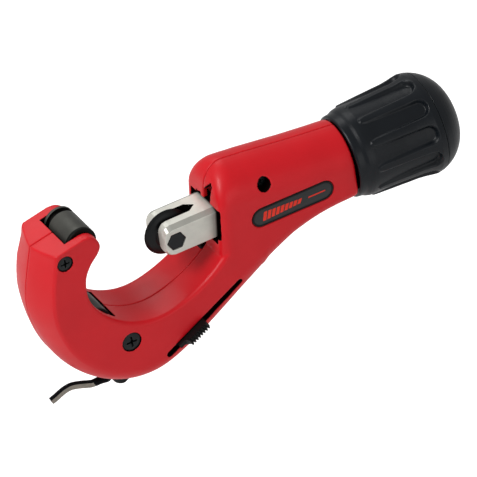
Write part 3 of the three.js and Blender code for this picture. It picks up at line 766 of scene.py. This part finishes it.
# ---------------------------------------------------------------- screws
def cross_recess(x, z, y, size, depth):
    """Tapered cross for a screwdriver, opening towards -Y."""
    arms = []
    for turn in (0, 90):
        rings = []
        c, s = math.cos(turn * DEG), math.sin(turn * DEG)
        for level, long, wide in ((y - 0.3, size * 1.06, size * 0.2), (y + depth, size * 0.45, size * 0.1)):
            corners = ((-long, -wide), (long, -wide), (long, wide), (-long, wide))
            rings.append([np.array([x + a * c - b * s, level, z + a * s + b * c]) for a, b in corners])
        arms.append(loft("arm", rings))
    core = [(y - 0.3, 0), (y - 0.3, size * 0.42), (y + depth * 1.1, 0)]
    arms.append(turned("core", core, "y", (x, 0, z), 24))
    return arms


def build_screws():
    for node, x, z, r, face, tip in screw_spots():
        shank = 2.0 if r > 3.2 else 1.5
        under = face + 2.1
        points = [(face - 0.25, 0), (face - 0.15, r * 0.6), (face + 0.15, r), (under, r), (under, shank),
                  (tip - 0.6, shank), (tip, shank - 0.5), (tip, 0)]
        profile = fillet(points, [0, 2, 0.3, 0.2, 0, 0, 0, 0], 3)
        screw = turned(node + "_turned", profile, "y", (x, 0, z), 64)
        boolean(screw, cross_recess(x, z, face, r * 0.62, 1.6))
        finish_piece(screw, SCREW_BLACK, "body", node, slot="dark_steel", angle=35)


build_screws()


# ---------------------------------------------------------------- carriage, wheel, pin
def carriage_ring(x, inset):
    """Octagon of the carriage at x, drawn in by inset towards its rounded front."""
    w, t = 7.5 - inset * 0.2, 6.4 - inset
    upper = [(w, t - 1.2), (w - 2, t), (2 - w, t), (-w, t - 1.2)]
    return [np.array([x, a, b]) for a, b in upper + [(-a, -b) for a, b in upper]]


def build_carriage():
    stations = [(-4.4, 3.4), (-4.15, 2.2), (-3.5, 1.1), (-2.6, 0.4), (-1.2, 0.0), (53, 0)]
    bar = loft("carriage_block", [carriage_ring(x, inset) for x, inset in stations])
    wedge = [(-20, -2.35), (8.6, -2.35), (11.8, 0), (8.6, 2.35), (-20, 2.35)]
    gap = loft("c", [[np.array([x, y, z]) for x, y in wedge] for z in (-20, 20)])
    corners = [(3.75 * math.cos(60 * k * DEG), 3.75 * math.sin(60 * k * DEG)) for k in range(6)]
    pocket = prism("c", corners, -9, -5.9)
    screw_hole = rod_x(4.08, 10.4, 60)
    pin_hole, clip_seat = rod_y(0, 0, 2.53, -20, 20), rod_y(0, 0, 4, 5.4, 9)
    boolean(bar, [gap, screw_hole, pin_hole, pocket, clip_seat])
    remesh(bar, 0.2, 1)

    # Painted shade: the wheel's slot is made black for the shadow in it, and the chamfers darker as a painted
    # reflection of dimmer surroundings.
    def shade(at, normal):
        x, y = at[0], np.abs(at[1])
        slot = (y < 2.45) & (x < 11.9) & (np.abs(normal[2]) < 0.7)
        chamfer_dark_reflection = (np.abs(normal[1]) > 0.35) & (np.abs(normal[2]) > 0.6) & (x > -2.6) & (y > 5)
        return np.where(slot, 1.0, np.where(chamfer_dark_reflection, 0.36, 0.0))

    darken(bar, shade)
    finish_piece(bar, PLATED, "slide", "carriage", slot="plated_zinc", angle=180)


def wheel_profile(r):
    rise = [(2.2, 4.9), (1.5, 5.4), (1.35, r - 2.3), (0.9, r - 1.0), (0.3, r - 0.25)]
    points = [(-2.2, 2.58)] + [(-a, b) for a, b in rise] + [(0, r)] + rise[::-1] + [(2.2, 2.58)]
    return fillet(points, [0.1, 0.3, 0.4, 0.6, 0.6, 0.3, 0.1, 0.3, 0.6, 0.6, 0.4, 0.3, 0.1], 3, True)


def build_wheels():
    low, high = local_box("cutter_wheel")
    wheel = turned("cutting_wheel", wheel_profile((high[0] - low[0]) / 2), "y", (0, 0, 0), 128, True)
    finish_piece(wheel, BLACK_STEEL, "wheel", "cutter_wheel", slot="dark_steel", angle=40)
    at = (middle("spare_wheel") - WHEEL_AT) / MM
    spare = turned("spare_cutting_wheel", wheel_profile(9.1), "x", at, 128, True)
    finish_piece(spare, BLACK_STEEL, "cap", "spare_wheel", slot="dark_steel", angle=40)


def build_pin():
    hexagon = [(-7.48, 0), (-7.48, 3.3), (-7.28, 3.6), (-6, 3.6), (-6, 0)]
    head = turned("head", hexagon, "y", (0, 0, 0), 6)
    head.data.transform(Matrix.Rotation(-30 * DEG, 4, "Y"))
    shank = [(-7, 0), (-7, 2.5), (5.7, 2.5), (5.7, 2), (6.4, 2), (6.4, 2.5), (6.8, 2.5), (7.1, 2.2), (7.1, 0)]
    shaft = turned("shaft", shank, "y", (0, 0, 0), 48)
    boolean(head, [shaft], "UNION")
    head.name = "wheel_pin_turned"
    finish_piece(head, SCREW_BLACK, "slide", "wheel_pin", slot="dark_steel", angle=25)


build_carriage()
build_wheels()
build_pin()


# ---------------------------------------------------------------- knob
def smooth_step(x):
    x = np.clip(x, 0, 1)
    return x * x * (3 - 2 * x)


# (x, radius) along the knob, on its ribs and in its recesses
RIB_LINE = [(70.4, 14.95), (70.9, 15.4), (73.2, 15.7), (74.4, 16.35), (75.6, 16.95), (77, 17.25), (85, 17.65),
            (92, 17.95), (95, 18.05), (98, 18.4), (100, 18.75), (102, 19.03), (104.4, 18.65)]
RECESS_LINE = [(70.4, 14.95), (70.9, 15.4), (73.2, 15.7), (74.4, 16.3), (75.6, 16.6), (77, 16.7), (90, 16.5),
               (98, 16.65), (101, 16.85), (104.4, 16.95)]
RECESS_END = 98.6  # centre of the recess's round end


def knob_radius(x, across):
    """Radius at x, and at this distance across from the middle of a recess."""
    top = np.interp(x, *zip(*RIB_LINE))
    base = np.interp(x, *zip(*RECESS_LINE))
    half_rib = np.interp(x, [76.8, 77.6, 79.5, 100], [0.2, 1.1, 1.5, 1.9])
    reach = 4.85 - half_rib
    inside = abs(across) if x < RECESS_END else math.hypot(across, x - RECESS_END)
    wall = smooth_step((inside - reach + 0.55) / 1.1)
    tip = smooth_step((x - 76.6) / 0.9) if x < 80 else 1.0
    return base + (top - base) * wall * tip


def build_knob():
    ribs, per = 11, 40
    count = ribs * per
    parts = ((71.2, 73.2, 4), (73.4, 75.2, 10), (75.4, 76.4, 4), (76.6, 80, 20), (80.5, 94, 24),
             (94.4, 104.1, 44))
    xs = np.concatenate([[70.4, 70.55, 70.9]] + [np.linspace(*part) for part in parts])
    rings = []
    for x in xs:
        ring = []
        for i in range(count):
            across = ((i / per) % 1 - 0.5) * 2 * math.pi * 17 / ribs
            r = knob_radius(x, across)
            a = 2 * math.pi * i / count - 3.7 * DEG - math.pi
            ring.append(np.array([x, r * math.cos(a), r * math.sin(a)]))
        rings.append(ring)
    rings.append([p * (1, 0.99, 0.99) + (0.2, 0, 0) for p in rings[-1]])
    knob = loft("knob_grip", rings)
    neck_room, spindle_room = rod_x(14.3, 68, 72.1, 96), rod_x(5.03, 68, 90.6)
    screw_room, store = rod_x(2.3, 90, 96), rod_x(11.5, 93.6, 106, 96)
    boolean(knob, [neck_room, spindle_room, screw_room, store])
    finish_piece(knob, KNOB, "knob", "knob_body", slot="knob_plastic", angle=50)
    dome = [(105.25, 18.3), (106.3, 17.85), (107.5, 17.25), (108.6, 16.55), (109.7, 15.7), (110.8, 14.65),
            (111.9, 13.35), (112.9, 11.75), (113.75, 9.9), (114.3, 7.4), (114.62, 4.3), (114.75, 0)]
    profile = [(97.2, 0), (97.2, 2.5), (101.4, 2.5), (101.4, 11.4), (104.45, 11.4), (104.45, 18.55)] + dome
    radii = [0, 0.2, 0.2, 0.3, 0.2, 0.35, 4] + [6] * 10 + [0]
    cap = turned("knob_end_cap", fillet(profile, radii, 4), "x", (0, 0, 0), 160)
    finish_piece(cap, KNOB, "cap", "knob_cap", slot="knob_plastic", angle=40)


build_knob()


# ---------------------------------------------------------------- badge
def between_rings(name, outer, inner, y0, y1):
    """Flat ring between two outlines of equal length in (x, z), from y0 to y1."""
    n = len(outer)
    verts = [(x, y, z) for y in (y0, y1) for outline in (outer, inner) for x, z in outline]
    faces = []
    for i in range(n):
        j = (i + 1) % n
        faces.append((i, j, n + j, n + i))
        faces.append((2 * n + i, 3 * n + i, 3 * n + j, 2 * n + j))
        faces.append((i, 2 * n + i, 2 * n + j, j))
        faces.append((n + i, n + j, 3 * n + j, 3 * n + i))
    return make(name, verts, faces)


def slanted(x, z, wide, tall, slant):
    """Corners of a bar with its lower left corner at x, centred on z."""
    low, high = z - tall / 2, z + tall / 2
    return [(x, low), (x + wide, low), (x + wide + slant, high), (x + slant, high)]


def build_badge():
    plate = prism("badge_plate", stadium_outline(*BADGE_AT, 32.8, 7.5, 24), -12.75, -11.95, 0.15)
    finish_piece(plate, BADGE, "body", "badge", slot="badge_black")
    outer, inner = stadium_outline(*BADGE_AT, 32.7, 7.4, 24), stadium_outline(*BADGE_AT, 31.5, 6.2, 24)
    rim = between_rings("badge_rim", outer, inner, -12.74, -12.85)
    finish_piece(rim, BLACK_PLASTIC, "body", slot="badge_black")
    z = BADGE_AT[1]
    bars = [slanted(31.6 + 1.75 * k, z, 1.3, 3.6 - 0.22 * k, 0.9) for k in range(9)]
    bars.append(slanted(50.2, z, 6.8, 0.5, 0.2))
    sides = ((0, 1, 2, 3), (7, 6, 5, 4), (0, 4, 5, 1), (1, 5, 6, 2), (2, 6, 7, 3), (3, 7, 4, 0))
    verts, faces = [], []
    for bar in bars:
        start = len(verts)
        verts += [(x, y, z) for y in (-12.74, -12.8) for x, z in bar]
        faces += [tuple(start + k for k in side) for side in sides]
    stripes = make("badge_stripes", verts, faces)
    finish_piece(stripes, PRINT, "body", slot="badge_black", smooth=False)


build_badge()


# ---------------------------------------------------------------- deburrer
def deb_rod(name, r, s0, s1):
    """Round bar along the deburrer's line."""
    circle = [(r * math.cos(a), r * math.sin(a)) for a in np.linspace(0, 2 * math.pi, 33)[:-1]]
    return loft(name, [[deb(s, y, n) for y, n in circle] for s in (s0, s1)])


def build_deburrer():
    def ring(s, inset):
        h = 4 - inset
        return [deb(s, a * h, b * h) for a, b in ((-1, -1), (1, -1), (1, 1), (-1, 1))]

    nose = [(-2.4, 1.9), (-2.2, 1.5), (-1.8, 1.0), (-1.3, 0.6), (-0.6, 0.2), (0.2, 0)]
    holder = loft("deburrer_block", [ring(*station) for station in nose] + [ring(40, 0)])
    boolean(holder, [deb_rod("c", 1.5, -4, 14.4)])
    round_edges(holder, 0.3, 2)
    finish_piece(holder, BLACK_PLASTIC, "deburrer", "deburrer_holder", slot="knob_plastic")
    arm = deb_box("thumb_pad", 22.6, 35.4, -14.2, -4.6, -2.8, -1.2)
    foot = deb_box("c", 20, 39, -5.7, -4.1, -4, 4)
    side = ((24.4, -13.15), (26.2, -15.3), (35.35, -15.3), (35.35, -13.15))
    rise = loft("c", [[deb(s, y, n) for s, y in side] for n in (-3.8, -1.22)])
    count = 8
    pitch = 9.2 / count
    foot_half, tip_half = pitch * 0.44, pitch * 0.14
    tooth = ((-foot_half, -15.2), (-tip_half, -16.1), (tip_half, -16.1), (foot_half, -15.2),
             (foot_half, -14.8), (-foot_half, -14.8))
    teeth = []
    for k in range(count):
        centre = 26 + pitch * (k + 0.5)
        rings = [[deb(centre + s, y, n) for s, y in tooth] for n in (-4.1, -1.25)]
        teeth.append(loft("c", rings))
    boolean(arm, [foot, rise] + teeth, "UNION")
    finish_piece(arm, BLACK_PLASTIC, "deburrer", "thumb_slide", slot="knob_plastic")


# (x, z) along the middle of the bent blade
BLADE_LINE = [(-31.37, -50.02), (-34.26, -49.59), (-36.91, -49.68), (-38.1, -49.43), (-41.96, -47.99),
              (-45.28, -47.1), (-47.75, -47.27), (-50.09, -48.06), (-51.83, -48.88), (-53.97, -49.64)]


def build_blade():
    rows = spline_rows([(x, 0, z, 0) for x, z in BLADE_LINE], 8)
    path = np.array([(r[0], 0, r[2]) for r in rows])
    rings = []
    for i, p in enumerate(path):
        way = path[min(i + 1, len(path) - 1)] - path[max(i - 1, 0)]
        way /= np.linalg.norm(way)
        up = np.array([-way[2], 0, way[0]]) * (1 if way[0] > 0 else -1)
        ring = []
        ground = smooth_step((-p[0] - 35.6) / 1.6)
        for k in range(40):
            a = 2 * math.pi * k / 40
            across, lift = 1.45 * math.cos(a), 1.45 * math.sin(a)
            across += (max(across, -0.35) - across) * ground
            ring.append(p + (0, across, 0) + up * lift)
        rings.append(ring)
    blade = loft("deburring_hook", rings)
    boolean(blade, [deb_rod("c", 1.4, -3.6, 14)], "UNION")

    def shade(at, normal):
        lift = at[2] - np.interp(-at[0], -path[:, 0], path[:, 2])
        ground = (normal[1] < -0.8) & (at[0] < -36.4) & (lift < 0.55)
        return np.where(ground, 0.0, 1.0)

    darken(blade, shade)
    finish_piece(blade, BLADE_STEEL, "blade", "deburring_blade", slot="bright_steel", angle=35)


build_deburrer()
build_blade()


# ---------------------------------------------------------------- inner pieces that stay as packed
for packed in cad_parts.values():
    for slot in packed.material_slots:
        slot.material = STEEL


# ---------------------------------------------------------------- studio
def area(name, at, towards, size, power):
    data = bpy.data.lights.new(name, "AREA")
    data.shape = "RECTANGLE"
    data.size, data.size_y = size
    data.energy = power
    obj = bpy.data.objects.new(name, data)
    bpy.context.scene.collection.objects.link(obj)
    obj.location = at
    obj.rotation_mode = "QUATERNION"
    obj.rotation_quaternion = (towards - at).to_track_quat("-Z", "Y")


def seen_by_camera(tree):
    return tree.nodes.new("ShaderNodeLightPath").outputs["Is Camera Ray"]


def studio():
    low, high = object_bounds()
    mesh = bpy.data.meshes.new("floor")
    reach = 9
    z = low[2] - 0.04
    corners = [(-reach, -reach, z), (reach, -reach, z), (reach, reach, z), (-reach, reach, z)]
    mesh.from_pydata(corners, [], [(0, 1, 2, 3)])
    floor = bpy.data.objects.new("floor", mesh)
    bpy.context.scene.collection.objects.link(floor)
    mat, tree, bsdf = nodes_of("pale_floor")
    tint = blend_colour(tree, ramp(tree, noise(tree, 3), 0, 1), (0.84, 0.84, 0.84), (0.80, 0.80, 0.80))
    tree.links.new(tint, bsdf.inputs["Base Color"])
    bsdf.inputs["Roughness"].default_value = 0.8
    bsdf.inputs["Specular IOR Level"].default_value = 0.1
    bsdf.inputs["Emission Color"].default_value = (1, 1, 1, 1)
    tree.links.new(multiply(tree, seen_by_camera(tree), 0.62), bsdf.inputs["Emission Strength"])
    floor.data.materials.append(mat)
    floor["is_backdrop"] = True
    world = bpy.data.worlds.new("studio")
    world.use_nodes = True
    tree = world.node_tree
    background = tree.nodes["Background"]
    background.inputs["Color"].default_value = (1, 1, 1, 1)
    tree.links.new(ramp(tree, seen_by_camera(tree), 0.42, 1.0, 0, 1), background.inputs["Strength"])
    scene = bpy.context.scene
    scene.world = world
    scene.view_settings.view_transform = "Standard"
    centre = (Vector(low) + Vector(high)) / 2
    area("key", centre + Vector((-0.55, -0.05, 0.60)), centre, (0.35, 0.35), 3.6)
    area("back", centre + Vector((0.05, 0.55, 0.65)), centre, (0.5, 0.3), 1.2)
    area("fill", centre + Vector((0.10, -0.85, 0.20)), centre, (0.5, 0.5), 0.8)


def camera():
    """From the near side, above and a little from the hook's end, with a long lens."""
    right = Vector((0.86668, -0.48383, -0.12156))
    up = Vector((0.37325, 0.46723, 0.80149))
    back = Vector((-0.33099, -0.74000, 0.58553))
    distance = 6500.0
    frame_width = 477 / 2.84  # millimetres across the picture
    target = 25.28 * right - 2.53 * up
    data = bpy.data.cameras.new("camera")
    data.sensor_width = 36
    data.lens = data.sensor_width * distance / frame_width
    data.clip_start, data.clip_end = 0.1, 100
    obj = bpy.data.objects.new("camera", data)
    bpy.context.scene.collection.objects.link(obj)
    turn = Matrix((right, up, back)).transposed().to_4x4()
    where = (target + back * distance) * MM + Vector(WHEEL_AT)
    obj.matrix_world = Matrix.Translation(where) @ turn
    bpy.context.scene.camera = obj


studio()
camera()
